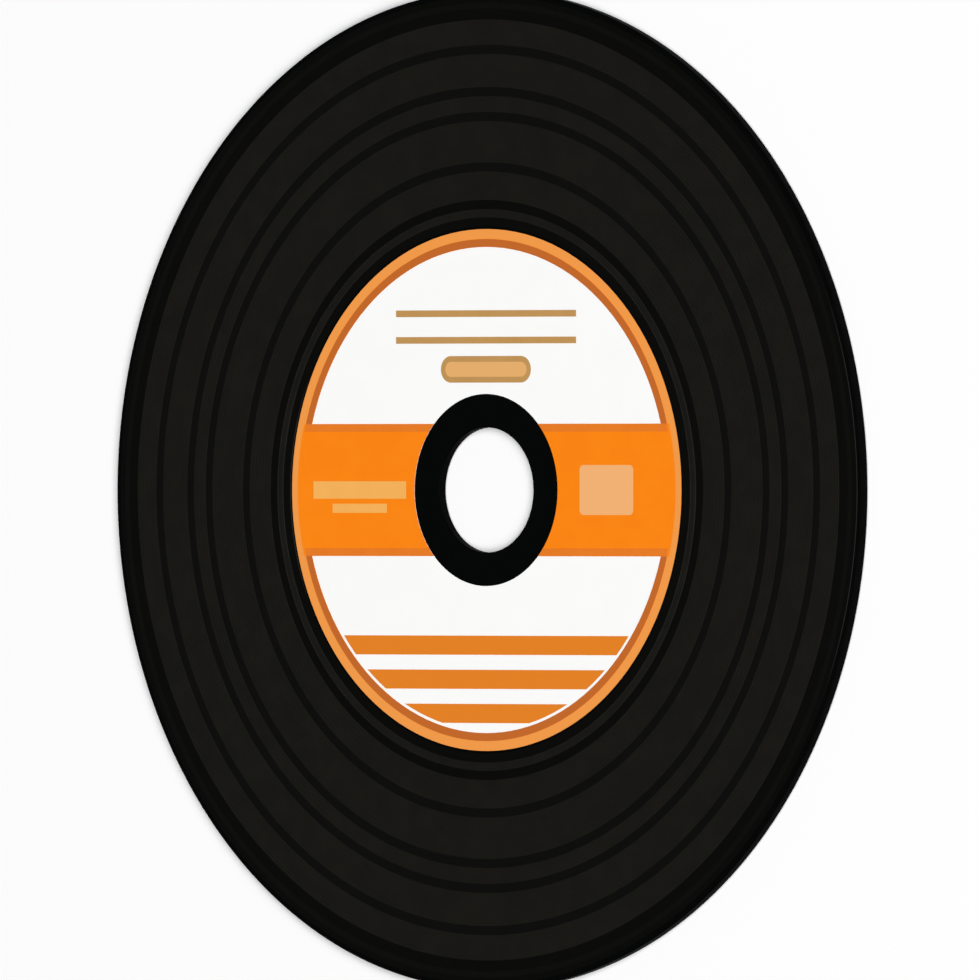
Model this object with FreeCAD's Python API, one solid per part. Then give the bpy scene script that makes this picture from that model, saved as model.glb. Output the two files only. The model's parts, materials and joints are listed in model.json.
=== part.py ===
"""A 120 mm compact disc with the look of a small gramophone record.

The frame's origin is the middle of the disc, at the height of the surface that it lies on.
+Z is up, out of the label, and +Y points to the top of the label. Lengths are in millimetres.
"""
import FreeCAD, Part
import os
from FreeCAD import Vector

# Moulded disc
DISC_DIAMETER = 120.0
HOLE_DIAMETER = 15.0
DISC_THICKNESS = 1.2
HOLE_EDGE_BREAK = 0.2
RIM_EDGE_BREAK = 0.2

# Stacking ring, a low bead on the read side that the disc lies on
STACK_RING_DIAMETER = 35.0
STACK_RING_CREST_WIDTH = 0.6
STACK_RING_FLANK_WIDTH = 0.3
STACK_RING_HEIGHT = 0.25

# Label print, laid on the disc in thin layers
LABEL_DIAMETER = 62.7
HUB_DIAMETER = 23.1
BASE_PRINT_THICKNESS = 0.03
INK_THICKNESS = 0.02
BORDER_WIDTH = 2.15
BORDER_WRAP = 0.12
BAND_HEIGHT = 15.9
STRIPE_COUNT = 3
STRIPE_HEIGHT = 2.3
STRIPE_PITCH = 4.1
STRIPE_FOOT_GAP = 1.2
KEYLINE_WIDTH = 0.95
PRINT_MARGIN = 0.35

# Plain marks of the print
RULE_LENGTH = 29.0
RULE_THICKNESS = 0.8
RULE_COUNT = 2
RULE_PITCH = 3.2
CAPSULE_LENGTH = 14.5
CAPSULE_HEIGHT = 3.2
CAPSULE_LINE_WIDTH = 0.7
CAPSULE_ABOVE_HUB = 1.35
RULE_ABOVE_CAPSULE = 1.9
PANEL_LENGTH = 8.6
PANEL_HEIGHT = 6.0
PANEL_CORNER = 0.6
PANEL_TOWARDS_HUB = 1.0
BAR_HEIGHTS = (2.1, 1.1)
BAR_LENGTHS = (15.0, 8.8)
BAR_PITCH = 2.2

# Relief coat, a film with raised bands round the disc, like the tracks of a record
COAT_LABEL_GAP = 0.3
COAT_RIM_MARGIN = 0.7
COAT_FILM = 0.06
TRACK_HEIGHT = 0.04
TRACK_FLANK_WIDTH = 0.1
RUN_OUT_WIDTH = 1.1
LEAD_IN_WIDTH = 2.78
TRACK_GAP_WIDTH = 1.1
TRACK_GAP_SHARES = (0.065, 0.255, 0.51, 0.636, 0.849)
RIM_BEAD_WIDTH = 0.7
RIM_BEAD_HEIGHT = 0.03
RIM_BEAD_FROM_EDGE = 1.1

# Radii and levels that follow
DISC_RADIUS = DISC_DIAMETER / 2
HOLE_RADIUS = HOLE_DIAMETER / 2
LABEL_RADIUS = LABEL_DIAMETER / 2
HUB_RADIUS = HUB_DIAMETER / 2
FIELD_RADIUS = LABEL_RADIUS - BORDER_WIDTH
READ_FACE_Z = STACK_RING_HEIGHT
LABEL_FACE_Z = READ_FACE_Z + DISC_THICKNESS
INK_Z = LABEL_FACE_Z + BASE_PRINT_THICKNESS
KEYLINE_Z = INK_Z + INK_THICKNESS
CAPSULE_Y = HUB_RADIUS + CAPSULE_ABOVE_HUB + CAPSULE_HEIGHT / 2
BAND_SIDE_X = (HUB_RADIUS + FIELD_RADIUS) / 2


def turned(outline):
    """The solid that a closed outline of (radius, height) points makes when it is turned about Z."""
    points = [Vector(radius, 0, height) for radius, height in outline]
    face = Part.Face(Part.makePolygon(points + points[:1]))
    return face.revolve(Vector(0, 0, 0), Vector(0, 0, 1), 360)


def washer(inner_radius, outer_radius, bottom, thickness):
    """A flat ring."""
    top = bottom + thickness
    return turned([(inner_radius, bottom), (outer_radius, bottom), (outer_radius, top), (inner_radius, top)])


def plate(centre_x, centre_y, length, height, bottom, thickness):
    """A flat rectangle of print, centred on a point of the label."""
    corner = Vector(centre_x - length / 2, centre_y - height / 2, bottom)
    return Part.makeBox(length, height, thickness, corner)


def rounded_plate(centre_x, centre_y, length, height, corner_radius, bottom, thickness):
    """A flat rectangle of print with rounded corners."""
    box = plate(centre_x, centre_y, length, height, bottom, thickness)
    upright = [edge for edge in box.Edges if edge.Vertexes[0].Z != edge.Vertexes[1].Z]
    return box.makeFillet(corner_radius, upright)


def capsule(centre_y, length, height, bottom, thickness):
    """A flat bar of print with half-round ends, centred across the label."""
    radius = height / 2
    reach = length / 2 - radius
    right = Vector(reach, centre_y, bottom)
    left = Vector(-reach, centre_y, bottom)
    rise = Vector(0, radius, 0)
    outward = Vector(radius, 0, 0)
    edges = [
        Part.LineSegment(left - rise, right - rise).toShape(),
        Part.Arc(right - rise, right + outward, right + rise).toShape(),
        Part.LineSegment(right + rise, left + rise).toShape(),
        Part.Arc(left + rise, left - outward, left - rise).toShape(),
    ]
    return Part.Face(Part.Wire(edges)).extrude(Vector(0, 0, thickness))


def white_field(side, spread, bottom):
    """The space of a white field above (side 1) or below (side -1) the band, grown by spread."""
    radius = FIELD_RADIUS + spread
    start = BAND_HEIGHT / 2 - spread
    middle_y = side * (start + radius) / 2
    space = plate(0, middle_y, 2 * radius, radius - start, bottom, INK_THICKNESS)
    return space.common(washer(HUB_RADIUS, radius, bottom, INK_THICKNESS))


def print_room():
    """The ring that stripes and marks keep to, a margin inside the border and outside the hub."""
    return washer(HUB_RADIUS + PRINT_MARGIN, FIELD_RADIUS - PRINT_MARGIN, INK_Z, INK_THICKNESS)


def disc():
    """The moulded disc: hole, flat faces, broken edges and the stacking ring, all in one turned section."""
    ring_radius = STACK_RING_DIAMETER / 2
    crest = STACK_RING_CREST_WIDTH / 2
    foot = crest + STACK_RING_FLANK_WIDTH
    return turned([
        (HOLE_RADIUS, READ_FACE_Z + HOLE_EDGE_BREAK),
        (HOLE_RADIUS + HOLE_EDGE_BREAK, READ_FACE_Z),
        (ring_radius - foot, READ_FACE_Z),
        (ring_radius - crest, 0),
        (ring_radius + crest, 0),
        (ring_radius + foot, READ_FACE_Z),
        (DISC_RADIUS - RIM_EDGE_BREAK, READ_FACE_Z),
        (DISC_RADIUS, READ_FACE_Z + RIM_EDGE_BREAK),
        (DISC_RADIUS, LABEL_FACE_Z - RIM_EDGE_BREAK),
        (DISC_RADIUS - RIM_EDGE_BREAK, LABEL_FACE_Z),
        (HOLE_RADIUS + HOLE_EDGE_BREAK, LABEL_FACE_Z),
        (HOLE_RADIUS, LABEL_FACE_Z - HOLE_EDGE_BREAK),
    ])


def track(inner_radius, outer_radius, film_z):
    """The four corners of one raised track's section, from its inner foot to its outer foot."""
    crest_z = film_z + TRACK_HEIGHT
    return [
        (inner_radius, film_z),
        (inner_radius + TRACK_FLANK_WIDTH, crest_z),
        (outer_radius - TRACK_FLANK_WIDTH, crest_z),
        (outer_radius, film_z),
    ]


def groove_coat():
    """The relief coat: run-out, raised tracks with smooth gaps between them, lead-in and rim bead."""
    inner = LABEL_RADIUS + COAT_LABEL_GAP
    outer = DISC_RADIUS - COAT_RIM_MARGIN
    film_z = LABEL_FACE_Z + COAT_FILM
    field_inner = inner + RUN_OUT_WIDTH
    field_outer = outer - LEAD_IN_WIDTH
    field_width = field_outer - field_inner
    gaps = [field_inner + share * field_width for share in TRACK_GAP_SHARES]
    starts = [field_inner] + [gap + TRACK_GAP_WIDTH / 2 for gap in gaps]
    ends = [gap - TRACK_GAP_WIDTH / 2 for gap in gaps] + [field_outer]
    outline = [(inner, LABEL_FACE_Z), (inner, film_z)]
    for start, end in zip(starts, ends):
        outline += track(start, end, film_z)
    bead = outer - RIM_BEAD_FROM_EDGE
    outline += [
        (bead - RIM_BEAD_WIDTH / 2, film_z),
        (bead, film_z + RIM_BEAD_HEIGHT),
        (bead + RIM_BEAD_WIDTH / 2, film_z),
        (outer, film_z),
        (outer, LABEL_FACE_Z),
    ]
    return turned(outline)


def label_base():
    """The white base print, a ring between the bare hub and the wrap of the orange border."""
    return washer(HUB_RADIUS, LABEL_RADIUS - BORDER_WRAP, LABEL_FACE_Z, BASE_PRINT_THICKNESS)


def stripes():
    """The stripes across the foot of the lower white field, cut round a little short of the border."""
    lowest = STRIPE_FOOT_GAP + STRIPE_HEIGHT / 2 - FIELD_RADIUS
    room = print_room()
    pieces = []
    for index in range(STRIPE_COUNT):
        centre_y = lowest + index * STRIPE_PITCH
        pieces.append(plate(0, centre_y, 2 * FIELD_RADIUS, STRIPE_HEIGHT, INK_Z, INK_THICKNESS).common(room))
    return pieces


def band_marks():
    """The plain panel right of the hub and the plain bars left of it."""
    panel_x = BAND_SIDE_X - PANEL_TOWARDS_HUB
    marks = [rounded_plate(panel_x, 0, PANEL_LENGTH, PANEL_HEIGHT, PANEL_CORNER, INK_Z, INK_THICKNESS)]
    for index, (length, height) in enumerate(zip(BAR_LENGTHS, BAR_HEIGHTS)):
        marks.append(plate(-BAND_SIDE_X, -index * BAR_PITCH, length, height, INK_Z, INK_THICKNESS))
    room = print_room()
    return [mark.common(room) for mark in marks]


def label_orange():
    """The orange print: border and band in one field with windows for the marks, and the stripes."""
    ground = washer(HUB_RADIUS, LABEL_RADIUS, INK_Z, INK_THICKNESS)
    ground = ground.cut([white_field(1, 0, INK_Z), white_field(-1, 0, INK_Z)])
    ground = ground.cut(band_marks())
    wrap = washer(LABEL_RADIUS - BORDER_WRAP, LABEL_RADIUS, LABEL_FACE_Z, BASE_PRINT_THICKNESS)
    return [ground.fuse(wrap).removeSplitter()] + stripes()


def label_keyline():
    """The deeper orange line that edges each white field, printed on the orange."""
    lines = []
    for side in (1, -1):
        outer = white_field(side, KEYLINE_WIDTH, KEYLINE_Z)
        lines.append(outer.cut(white_field(side, 0, KEYLINE_Z)))
    return lines


def label_tan():
    """The tan print: plain rules across the upper field, and the outline of the capsule under them."""
    outline = capsule(CAPSULE_Y, CAPSULE_LENGTH, CAPSULE_HEIGHT, INK_Z, INK_THICKNESS)
    inset = 2 * CAPSULE_LINE_WIDTH
    inside = capsule(CAPSULE_Y, CAPSULE_LENGTH - inset, CAPSULE_HEIGHT - inset, INK_Z, INK_THICKNESS)
    marks = [outline.cut(inside)]
    first_rule = CAPSULE_Y + CAPSULE_HEIGHT / 2 + RULE_ABOVE_CAPSULE
    room = print_room()
    for index in range(RULE_COUNT):
        centre_y = first_rule + index * RULE_PITCH
        marks.append(plate(0, centre_y, RULE_LENGTH, RULE_THICKNESS, INK_Z, INK_THICKNESS).common(room))
    return marks


def label_pale():
    """The pale tint: the capsule's field, and the panel and bars in the windows of the band."""
    inset = 2 * CAPSULE_LINE_WIDTH
    field = capsule(CAPSULE_Y, CAPSULE_LENGTH - inset, CAPSULE_HEIGHT - inset, INK_Z, INK_THICKNESS)
    return [field] + band_marks()


def write(node, solids):
    """Writes the solids of one node to its own file."""
    shape = solids[0] if len(solids) == 1 else Part.makeCompound(solids)
    shape.exportStep(os.path.join("parts", node + ".step"))
    print(node, len(shape.Solids), "solids", round(shape.Volume, 3), "mm3, valid:", shape.isValid())


def main():
    os.makedirs("parts", exist_ok=True)
    write("disc", [disc()])
    write("groove_coat", [groove_coat()])
    write("label_base", [label_base()])
    write("label_orange", label_orange())
    write("label_keyline", label_keyline())
    write("label_tan", label_tan())
    write("label_pale", label_pale())


main()
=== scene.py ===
"""The looks of a 120 mm compact disc with a record look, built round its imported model.

The frame's origin is the middle of the disc, at the height of the surface that it lies on. +Z is up, out
of the label, and +Y points to the top of the label. Sizes are written in millimetres with MM beside them.
"""
import bpy
import json
import math
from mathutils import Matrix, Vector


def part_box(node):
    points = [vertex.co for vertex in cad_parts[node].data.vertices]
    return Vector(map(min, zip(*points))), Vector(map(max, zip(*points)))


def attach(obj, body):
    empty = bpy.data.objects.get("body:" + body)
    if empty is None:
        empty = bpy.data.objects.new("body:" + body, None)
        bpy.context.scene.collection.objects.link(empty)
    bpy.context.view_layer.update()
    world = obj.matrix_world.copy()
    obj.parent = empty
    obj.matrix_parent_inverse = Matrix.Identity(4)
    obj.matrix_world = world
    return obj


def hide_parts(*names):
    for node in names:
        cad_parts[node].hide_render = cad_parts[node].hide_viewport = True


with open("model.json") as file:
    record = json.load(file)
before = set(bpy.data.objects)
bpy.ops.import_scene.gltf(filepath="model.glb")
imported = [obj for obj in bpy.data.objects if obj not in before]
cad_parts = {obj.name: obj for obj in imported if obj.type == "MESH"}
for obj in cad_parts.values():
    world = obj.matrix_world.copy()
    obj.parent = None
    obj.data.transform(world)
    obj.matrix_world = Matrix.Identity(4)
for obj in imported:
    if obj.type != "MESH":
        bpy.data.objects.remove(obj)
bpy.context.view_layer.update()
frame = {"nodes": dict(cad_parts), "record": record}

# Moulded disc
# One injection moulding of black polycarbonate, with a 15 mm hole for the hub of a drive. The mould rounds
# its edges, and a low bead on the read side keeps stacked discs apart. It carries every other layer.
MM = 0.001
MOUNTS = {mount["name"]: mount for mount in frame["record"]["mounts"]}
HOLE_RADIUS = MOUNTS["centre_hole"]["dims"]["r_mm"] * MM
STACK_RING_RADIUS = MOUNTS["rest_ring"]["pos_m"][0]
READ_FACE_Z = MOUNTS["clamp_face_read_side"]["pos_m"][2]
LABEL_FACE_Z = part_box("disc")[1].z
DISC_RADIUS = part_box("disc")[1].x
EDGE_ROUNDING = 0.2 * MM
RING_CREST_WIDTH = 0.6 * MM
RING_FLANK_WIDTH = 0.3 * MM
RECORDED_FROM_RADIUS = 22.5 * MM
RECORDED_TO_RADIUS = 58.5 * MM
RECORDED_EDGE = 0.15 * MM
HAZE_SIZE = 6 * MM
DISC_STEPS = 480
FLAT_SUPPORT = 0.03 * MM
WELD_DISTANCE = 0.001 * MM
SMOOTH_UNDER = math.radians(30)
SOFT_EDGE = 0.1 * MM


def linear(hex_code):
    """A colour written as sRGB hex, in the linear values that a shader takes."""
    shares = [int(hex_code[at:at + 2], 16) / 255 for at in (1, 3, 5)]
    return [*(s / 12.92 if s <= 0.04045 else ((s + 0.055) / 1.055) ** 2.4 for s in shares), 1.0]


def node(tree, kind, sockets=(), **settings):
    """Adds a node with its settings, and fills its sockets with values, sRGB hex or other sockets."""
    made = tree.nodes.new(kind)
    for name, value in settings.items():
        setattr(made, name, value)
    for name, value in dict(sockets).items():
        if isinstance(value, bpy.types.NodeSocket):
            tree.links.new(value, made.inputs[name])
        else:
            made.inputs[name].default_value = linear(value) if isinstance(value, str) else value
    return made


def new_material(name):
    """A material, its tree to add to, and the shader of its surface."""
    material = bpy.data.materials.new(name)
    material.use_nodes = True
    tree = material.node_tree
    return material, tree, tree.nodes["Principled BSDF"]


def place_on_disc(tree):
    """A point's place in the disc's frame, as its X, Y and Z and its distance from the axis, in metres."""
    own = node(tree, "ShaderNodeTexCoord").outputs["Object"]
    axes = node(tree, "ShaderNodeSeparateXYZ", {0: own}).outputs
    flat = node(tree, "ShaderNodeCombineXYZ", {"X": axes["X"], "Y": axes["Y"]}).outputs[0]
    radius = node(tree, "ShaderNodeVectorMath", {0: flat}, operation="LENGTH").outputs["Value"]
    return axes, radius


def tone_past(tree, tone, next_tone, value, limit, softness=SOFT_EDGE):
    """A tone that gives way to the next one where a value passes a limit.

    A tone is sRGB hex or a socket. The change takes the softness on each side of the limit.
    """
    reach = {"Value": value, "From Min": limit - softness, "From Max": limit + softness}
    tones = {"Factor": node(tree, "ShaderNodeMapRange", reach).outputs[0], "A": tone, "B": next_tone}
    return node(tree, "ShaderNodeMix", tones, data_type="RGBA").outputs["Result"]


def clouded(tree, tone, lighter_tone, size):
    """A tone that drifts a little towards a lighter one, in soft clouds of a size."""
    own = node(tree, "ShaderNodeTexCoord").outputs["Object"]
    noise = node(tree, "ShaderNodeTexNoise", {"Vector": own, "Scale": 1 / size, "Detail": 3.0})
    return tone_past(tree, tone, lighter_tone, noise.outputs["Fac"], limit=0.5, softness=0.15)


def add_grain(tree, shader, size, depth, strength):
    """Breaks a surface with a fine irregular grain of a size and a depth."""
    own = node(tree, "ShaderNodeTexCoord").outputs["Object"]
    noise = node(tree, "ShaderNodeTexNoise", {"Vector": own, "Scale": 1 / size, "Detail": 2.0})
    grain = {"Height": noise.outputs["Fac"], "Strength": strength, "Distance": depth}
    tree.links.new(node(tree, "ShaderNodeBump", grain).outputs["Normal"], shader.inputs["Normal"])


def arc(centre_radius, centre_z, size, first_deg, last_deg, parts=6):
    """A rounded corner of a section, with a point on the flat beside each end to keep the flat true."""
    points = []
    for step in range(parts + 1):
        turn = math.radians(first_deg + (last_deg - first_deg) * step / parts)
        points.append((centre_radius + size * math.cos(turn), centre_z + size * math.sin(turn)))
    first, last = math.radians(first_deg), math.radians(last_deg)
    before = (points[0][0] + FLAT_SUPPORT * math.sin(first), points[0][1] - FLAT_SUPPORT * math.cos(first))
    after = (points[-1][0] - FLAT_SUPPORT * math.sin(last), points[-1][1] + FLAT_SUPPORT * math.cos(last))
    return [before] + points + [after]


def bead(parts=8):
    """The stacking bead's section on the read side, from its inner foot to its outer foot."""
    crest, foot = RING_CREST_WIDTH / 2, RING_CREST_WIDTH / 2 + RING_FLANK_WIDTH
    fall = [(k / parts, READ_FACE_Z * (1 + math.cos(math.pi * k / parts)) / 2) for k in range(parts + 1)]
    before = (STACK_RING_RADIUS - foot - FLAT_SUPPORT, READ_FACE_Z)
    inner = [(STACK_RING_RADIUS - foot + RING_FLANK_WIDTH * share, z) for share, z in fall]
    outer = [(STACK_RING_RADIUS + crest + RING_FLANK_WIDTH * (1 - share), z) for share, z in fall[::-1]]
    after = (STACK_RING_RADIUS + foot + FLAT_SUPPORT, READ_FACE_Z)
    return [before] + inner + outer + [after]


def spun(name, section, steps):
    """A closed section of (radius, height) points, extruded point by point and spun about the axis."""
    bpy.ops.object.select_all(action="DESELECT")
    start_radius, start_z = section[0]
    bpy.ops.mesh.primitive_plane_add(size=MM, location=(start_radius, 0, start_z))
    piece = bpy.context.object
    piece.name = name
    piece.data.name = name
    bpy.ops.object.transform_apply(location=True, rotation=True, scale=True)
    bpy.ops.object.mode_set(mode="EDIT")
    bpy.ops.mesh.select_all(action="SELECT")
    bpy.ops.mesh.merge(type="CENTER")
    for here, there in zip(section, section[1:] + section[:1]):
        step = (there[0] - here[0], 0, there[1] - here[1])
        bpy.ops.mesh.extrude_region_move(TRANSFORM_OT_translate={"value": step})
    bpy.ops.mesh.select_all(action="SELECT")
    bpy.ops.mesh.remove_doubles(threshold=WELD_DISTANCE)
    bpy.ops.mesh.spin(steps=steps, angle=math.tau, center=(0, 0, 0), axis=(0, 0, 1))
    bpy.ops.mesh.select_all(action="SELECT")
    bpy.ops.mesh.remove_doubles(threshold=WELD_DISTANCE)
    bpy.ops.mesh.normals_make_consistent(inside=False)
    bpy.ops.object.mode_set(mode="OBJECT")
    bpy.ops.object.shade_smooth_by_angle(angle=SMOOTH_UNDER)
    return piece


def moulded_black_polycarbonate():
    """Polycarbonate moulded against polished nickel: jet black, with a mirror gloss that is hardly broken.

    The dye and mirror films behind the recorded zone of the read side give it a faint violet sheen, painted
    into its colour there as a still violet cast.
    """
    material, tree, shader = new_material("moulded_black_polycarbonate")
    black, violet_painted_sheen = "#030404", "#0f0a1c"
    axes, radius = place_on_disc(tree)
    # Painted sheen: a violet tone over the recorded zone of the read side.
    tone = tone_past(tree, black, violet_painted_sheen, radius, RECORDED_FROM_RADIUS, RECORDED_EDGE)
    tone = tone_past(tree, tone, black, radius, RECORDED_TO_RADIUS, RECORDED_EDGE)
    tone = tone_past(tree, tone, black, axes["Z"], (READ_FACE_Z + LABEL_FACE_Z) / 2)
    own = node(tree, "ShaderNodeTexCoord").outputs["Object"]
    haze = node(tree, "ShaderNodeTexNoise", {"Vector": own, "Scale": 1 / HAZE_SIZE, "Detail": 3.0})
    gloss = node(tree, "ShaderNodeMapRange", {"Value": haze.outputs["Fac"], "To Min": 0.05, "To Max": 0.09})
    shader.inputs["IOR"].default_value = 1.585
    tree.links.new(tone, shader.inputs["Base Color"])
    tree.links.new(gloss.outputs[0], shader.inputs["Roughness"])
    return material


def unpolished_black_polycarbonate():
    """The same plastic where the mould isn't polished, round the rim and in the hole: black and dull.

    The eroded steel of the mould leaves a fine grain in it, with slightly greyer patches.
    """
    material, tree, shader = new_material("unpolished_black_polycarbonate")
    tone = clouded(tree, "#030303", "#050505", size=1.5 * MM)
    shader.inputs["Roughness"].default_value = 0.5
    shader.inputs["Specular IOR Level"].default_value = 0.01
    tree.links.new(tone, shader.inputs["Base Color"])
    add_grain(tree, shader, size=0.12 * MM, depth=0.005 * MM, strength=0.4)
    return material


low_corner = READ_FACE_Z + EDGE_ROUNDING
high_corner = LABEL_FACE_Z - EDGE_ROUNDING
disc_section = arc(HOLE_RADIUS + EDGE_ROUNDING, low_corner, EDGE_ROUNDING, 180, 270)
disc_section += bead()
disc_section += arc(DISC_RADIUS - EDGE_ROUNDING, low_corner, EDGE_ROUNDING, 270, 360)
disc_section += arc(DISC_RADIUS - EDGE_ROUNDING, high_corner, EDGE_ROUNDING, 0, 90)
disc_section += arc(HOLE_RADIUS + EDGE_ROUNDING, high_corner, EDGE_ROUNDING, 90, 180)
disc = spun("disc_moulding", disc_section, DISC_STEPS)
disc.data.materials.append(moulded_black_polycarbonate())
disc.data.materials.append(unpolished_black_polycarbonate())
for face in disc.data.polygons:
    radius = math.hypot(face.center.x, face.center.y)
    on_polished_face = HOLE_RADIUS + EDGE_ROUNDING < radius < DISC_RADIUS - EDGE_ROUNDING
    face.material_index = 0 if on_polished_face else 1
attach(disc, "root")
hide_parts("disc")

# Relief coat
# Thick black varnish, screen printed over the disc outside the label and cured, in the form of a record:
# fine rings on raised tracks, smooth gaps between them, a smooth run-out and rim, and a thin bead there.
# The raised tracks are painted lighter than the rest, as painted sheen from their fine rings. The smooth
# gaps between the wide tracks are a little paler than the run-out and rim, and the top of the bead is
# painted paler, as a painted highlight.
LABEL_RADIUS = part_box("label_orange")[1].x
COAT_LABEL_GAP = 0.3 * MM
COAT_INNER_RADIUS = LABEL_RADIUS + COAT_LABEL_GAP
COAT_OUTER_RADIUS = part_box("groove_coat")[1].x
TRACK_TOP_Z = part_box("groove_coat")[1].z
TRACK_HEIGHT = 0.04 * MM
FILM_Z = TRACK_TOP_Z - TRACK_HEIGHT
TRACK_FLANK_WIDTH = 0.1 * MM
RUN_OUT_WIDTH = 1.1 * MM
LEAD_IN_WIDTH = 2.78 * MM
TRACK_GAP_WIDTH = 1.1 * MM
TRACK_GAP_SHARES = (0.065, 0.255, 0.51, 0.636, 0.849)
FINE_RING_PITCH = 0.5 * MM
FINE_RING_DEPTH = 0.03 * MM
RIM_BEAD_WIDTH = 0.7 * MM
RIM_BEAD_HEIGHT = 0.03 * MM
RIM_BEAD_FROM_EDGE = 1.1 * MM
COAT_STEPS = 400


def ringed_track(start, end):
    """One raised track's section, with fine rings cut into its top in slow waves."""
    first, last = start + TRACK_FLANK_WIDTH, end - TRACK_FLANK_WIDTH
    rings = max(1, round((last - first) / FINE_RING_PITCH))
    points = [(start - FLAT_SUPPORT, FILM_Z), (start, FILM_Z)]
    for quarter in range(4 * rings + 1):
        dip = FINE_RING_DEPTH * (1 - math.cos(math.pi * quarter / 2)) / 2
        points.append((first + (last - first) * quarter / (4 * rings), TRACK_TOP_Z - dip))
    return points + [(end, FILM_Z), (end + FLAT_SUPPORT, FILM_Z)]


def relief_varnish(name, tone, lighter_tone, roughness):
    """Screen-printing varnish with black pigment, cured in ultraviolet light: deep black with a satin top.

    The pigment settles a little unevenly, and the screen leaves a grain that is drawn at 0.15 mm to show.
    The tone given for a zone holds painted sheen on the tracks and a painted highlight on the bead's top.
    """
    material, tree, shader = new_material(name)
    shader.inputs["Roughness"].default_value = roughness
    shader.inputs["IOR"].default_value = 1.5
    tree.links.new(clouded(tree, tone, lighter_tone, size=2.5 * MM), shader.inputs["Base Color"])
    add_grain(tree, shader, size=0.15 * MM, depth=0.006 * MM, strength=0.3)
    return material


field_inner = COAT_INNER_RADIUS + RUN_OUT_WIDTH
field_outer = COAT_OUTER_RADIUS - LEAD_IN_WIDTH
gaps = [field_inner + share * (field_outer - field_inner) for share in TRACK_GAP_SHARES]
track_starts = [field_inner] + [gap + TRACK_GAP_WIDTH / 2 for gap in gaps]
track_ends = [gap - TRACK_GAP_WIDTH / 2 for gap in gaps] + [field_outer]
coat_section = [(COAT_INNER_RADIUS, LABEL_FACE_Z), (COAT_INNER_RADIUS, FILM_Z)]
for start, end in zip(track_starts, track_ends):
    coat_section += ringed_track(start, end)
rim_bead = COAT_OUTER_RADIUS - RIM_BEAD_FROM_EDGE
for share in (-1, -0.5, 0, 0.5, 1):
    rise = RIM_BEAD_HEIGHT * (1 + math.cos(math.pi * share)) / 2
    coat_section.append((rim_bead + share * RIM_BEAD_WIDTH / 2, FILM_Z + rise))
coat_section += [(COAT_OUTER_RADIUS, FILM_Z), (COAT_OUTER_RADIUS, LABEL_FACE_Z)]
coat = spun("relief_coat", coat_section, COAT_STEPS)
# Painted light in the tones: the tracks' lighter tone is painted sheen, and the paler tone on the bead's
# top is a painted highlight.
coat.data.materials.append(relief_varnish("ringed_relief_varnish", "#12110e", "#151410", 0.38))
coat.data.materials.append(relief_varnish("paler_smooth_relief_varnish", "#0a0a09", "#0b0b0a", 0.28))
coat.data.materials.append(relief_varnish("smooth_relief_varnish", "#060605", "#070706", 0.28))
# Sorts the faces by radius: tracks take the tone with painted sheen, gaps and the bead's top the paler tone
# with the painted highlight.
for face in coat.data.polygons:
    radius = math.hypot(face.center.x, face.center.y)
    if any(start < radius < end for start, end in zip(track_starts, track_ends)):
        face.material_index = 0
    elif track_starts[1] < radius < track_starts[-1] or abs(radius - rim_bead) < RIM_BEAD_WIDTH / 2:
        face.material_index = 1
    else:
        face.material_index = 2
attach(coat, "root")
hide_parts("groove_coat")

# White base print
# A ring of white screen-printing ink, laid on the bare disc so that the colours over it stay bright. It
# shows as the two white fields of the label.
CLOUD_SIZE = 3 * MM
SCREEN_PITCH = 0.3 * MM
THREAD_HEIGHT = 0.003 * MM
ONE_WAVE_PER_METRE = math.pi / 10


def screen_ink(name, tone, lighter_tone, tone_by_place=None):
    """Opaque screen-printing ink: a smooth satin film whose colour clouds a little over a few millimetres.

    The threads of the screen leave a faint tooth in it, really about 0.12 mm apart and drawn at 0.3 mm.
    Where an ink's tone also goes by its place on the label, tone_by_place changes the clouded one.
    """
    material, tree, shader = new_material(name)
    shader.inputs["Roughness"].default_value = 0.4
    shader.inputs["IOR"].default_value = 1.5
    tone = clouded(tree, tone, lighter_tone, CLOUD_SIZE)
    if tone_by_place:
        tone = tone_by_place(tree, tone)
    own = node(tree, "ShaderNodeTexCoord").outputs["Object"]
    weave = {"Vector": own, "Scale": ONE_WAVE_PER_METRE / SCREEN_PITCH}
    warp = node(tree, "ShaderNodeTexWave", weave, bands_direction="X").outputs["Fac"]
    weft = node(tree, "ShaderNodeTexWave", weave, bands_direction="Y").outputs["Fac"]
    threads = node(tree, "ShaderNodeMath", {0: warp, 1: weft}, operation="MULTIPLY").outputs[0]
    tooth = node(tree, "ShaderNodeBump", {"Height": threads, "Strength": 0.2, "Distance": THREAD_HEIGHT})
    tree.links.new(tone, shader.inputs["Base Color"])
    tree.links.new(tooth.outputs["Normal"], shader.inputs["Normal"])
    return material


def dress(cad_node, material):
    """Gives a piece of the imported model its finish."""
    for slot in frame["nodes"][cad_node].material_slots:
        slot.material = material


dress("label_base", screen_ink("white_screen_ink", "#fdfdfc", "#fefefd"))

# Orange print
# One pass of orange ink makes the border, the band across the hub and the three stripes at the foot. It
# comes out paler in the narrow border, beside the band only at its outer edge, and fuller in the stripes.
BORDER_WIDTH = 2.15 * MM
KEYLINE_WIDTH = 0.95 * MM
FIELD_RADIUS = LABEL_RADIUS - BORDER_WIDTH
PALE_FROM_RADIUS = FIELD_RADIUS + KEYLINE_WIDTH
BAND_HEIGHT = 15.9 * MM
BAND_RUNS_ON = 0.3 * MM
STRIPES_BELOW_Y = -14 * MM


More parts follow.
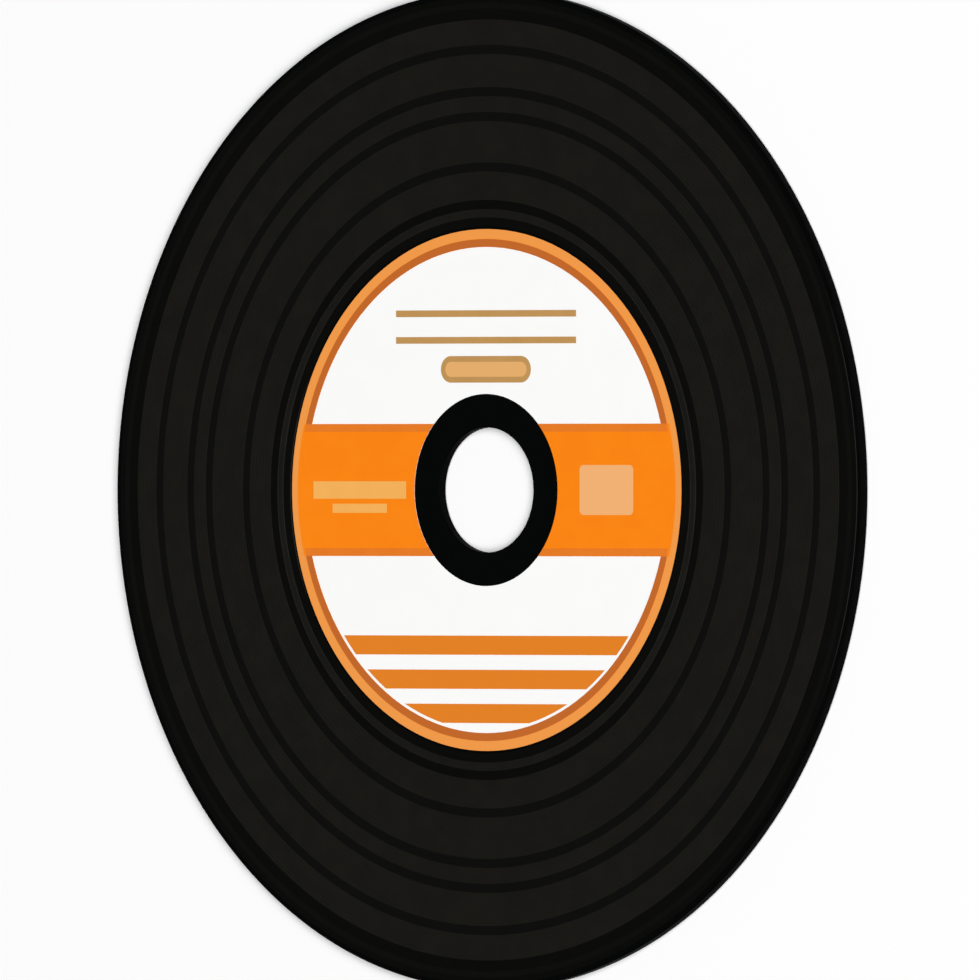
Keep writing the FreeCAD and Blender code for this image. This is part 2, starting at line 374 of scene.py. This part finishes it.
def orange_by_place(tree, band_tone):
    """The band's orange, fuller in the stripes and paler in the border."""
    border_tone = "#f39b49"
    axes, radius = place_on_disc(tree)
    off_middle = node(tree, "ShaderNodeMath", {0: axes["Y"]}, operation="ABSOLUTE").outputs[0]
    tone = tone_past(tree, "#e68223", band_tone, axes["Y"], STRIPES_BELOW_Y)
    by_field = tone_past(tree, tone, border_tone, radius, PALE_FROM_RADIUS)
    by_band = tone_past(tree, tone, border_tone, radius, PALE_FROM_RADIUS + BAND_RUNS_ON)
    return tone_past(tree, by_band, by_field, off_middle, BAND_HEIGHT / 2)


dress("label_orange", screen_ink("orange_screen_ink", "#fd850c", "#fe880f", orange_by_place))

# Deep orange lines
# A thin line of a deeper orange, printed over the orange along the edges of the white fields. It is deep
# beside the border and hardly deeper than the orange beside the band.
RING_TONE_EDGE = 0.02 * MM


def deep_orange_by_place(tree, band_line_tone):
    """The tone of the line beside the band, with a deeper one in the ring beside the border."""
    axes, radius = place_on_disc(tree)
    off_middle = node(tree, "ShaderNodeMath", {0: axes["Y"]}, operation="ABSOLUTE").outputs[0]
    ring_tone = tone_past(tree, band_line_tone, "#c46828", radius, FIELD_RADIUS, RING_TONE_EDGE)
    return tone_past(tree, band_line_tone, ring_tone, off_middle, BAND_HEIGHT / 2)


dress("label_keyline", screen_ink("deep_orange_screen_ink", "#e77a22", "#ea7e25", deep_orange_by_place))

# Tan print
# Two plain rules in the upper field and the outline of the capsule under them, printed in one pass of tan
# ink on the white.
dress("label_tan", screen_ink("tan_screen_ink", "#bf9155", "#c39659"))

# Pale tint print
# A pale tint of the orange in the capsule and in the windows of the band: plain bars on the left of the
# hub and a plain panel on its right.
CAPSULE_ABOVE_Y = 9 * MM


def pale_tint_by_place(tree, bar_tone):
    """The tint of the bars, a little pinker in the panel on the right and duller in the capsule."""
    axes = place_on_disc(tree)[0]
    tone = tone_past(tree, bar_tone, "#f5b375", axes["X"], 0.0)
    return tone_past(tree, tone, "#e8af6d", axes["Y"], CAPSULE_ABOVE_Y)


dress("label_pale", screen_ink("pale_tint_screen_ink", "#f6b159", "#f8b45d", pale_tint_by_place))

# Floor
# A plain white table top, wide enough to fill every view. It is matt, so it mirrors neither the lamp nor
# the room.
FLOOR_SIZE = 6.0
bpy.ops.object.select_all(action="DESELECT")
bpy.ops.mesh.primitive_plane_add(size=FLOOR_SIZE, location=(0, 0, 0))
floor = bpy.context.object
floor.name = "floor"
floor_material, _, floor_shader = new_material("white_table_top")
floor_shader.inputs["Base Color"].default_value = linear("#fcfcfc")
floor_shader.inputs["Roughness"].default_value = 0.9
floor_shader.inputs["Specular IOR Level"].default_value = 0.0
floor.data.materials.append(floor_material)

# Camera
# The photograph shows the disc squeezed to three quarters of its width, as a long lens sees it from a
# little over 48 degrees above its right side, with the top of the label kept upright.
TILT = math.radians(41.8)
LENS_MM = 1500
SENSOR_MM = 36
VIEW_HEIGHT = 117.75 * MM
AIM_SHIFT = -0.5 * MM
distance = VIEW_HEIGHT * LENS_MM / SENSOR_MM
right = (math.cos(TILT), 0, -math.sin(TILT))
back = (math.sin(TILT), 0, math.cos(TILT))
bpy.ops.object.camera_add()
camera = bpy.context.object
camera.data.lens = LENS_MM
camera.data.sensor_width = SENSOR_MM
camera.location = [back[axis] * distance + right[axis] * AIM_SHIFT for axis in range(3)]
camera.rotation_euler = (0, TILT, 0)
bpy.context.scene.camera = camera

# Studio light
# One large soft lamp on the camera's side, and a dim room that is pale only along its foot. Black gloss
# stays black, because it mirrors the dim part of the room.
LAMP_TILT = math.radians(42)
LAMP_DISTANCE = 12.0
LAMP_SIZE = (8.0, 12.0)
LAMP_WATTS = 2310.0
ROOM_FOOT_UP_TO = 0.07
ROOM_DIM_FROM = 0.17
ROOM_FOOT_STRENGTH = 0.95
ROOM_DIM_STRENGTH = 0.02
bpy.ops.object.light_add(type="AREA")
lamp = bpy.context.object
lamp.data.shape = "RECTANGLE"
lamp.data.size, lamp.data.size_y = LAMP_SIZE
lamp.data.energy = LAMP_WATTS
lamp.location = (LAMP_DISTANCE * math.sin(LAMP_TILT), 0, LAMP_DISTANCE * math.cos(LAMP_TILT))
lamp.rotation_euler = (0, LAMP_TILT, 0)
lamp.visible_camera = False
world = bpy.data.worlds.new("studio_room")
bpy.context.scene.world = world
world.use_nodes = True
room = world.node_tree
direction = node(room, "ShaderNodeTexCoord").outputs["Generated"]
height = node(room, "ShaderNodeSeparateXYZ", {0: direction}).outputs["Z"]
heights = {"Value": height, "From Min": ROOM_FOOT_UP_TO, "From Max": ROOM_DIM_FROM}
strengths = {"To Min": ROOM_FOOT_STRENGTH, "To Max": ROOM_DIM_STRENGTH}
strength = node(room, "ShaderNodeMapRange", {**heights, **strengths}).outputs[0]
room.links.new(strength, room.nodes["Background"].inputs["Strength"])
room.nodes["Background"].inputs["Color"].default_value = linear("#ffffff")

bpy.context.scene.view_settings.view_transform = "Standard"
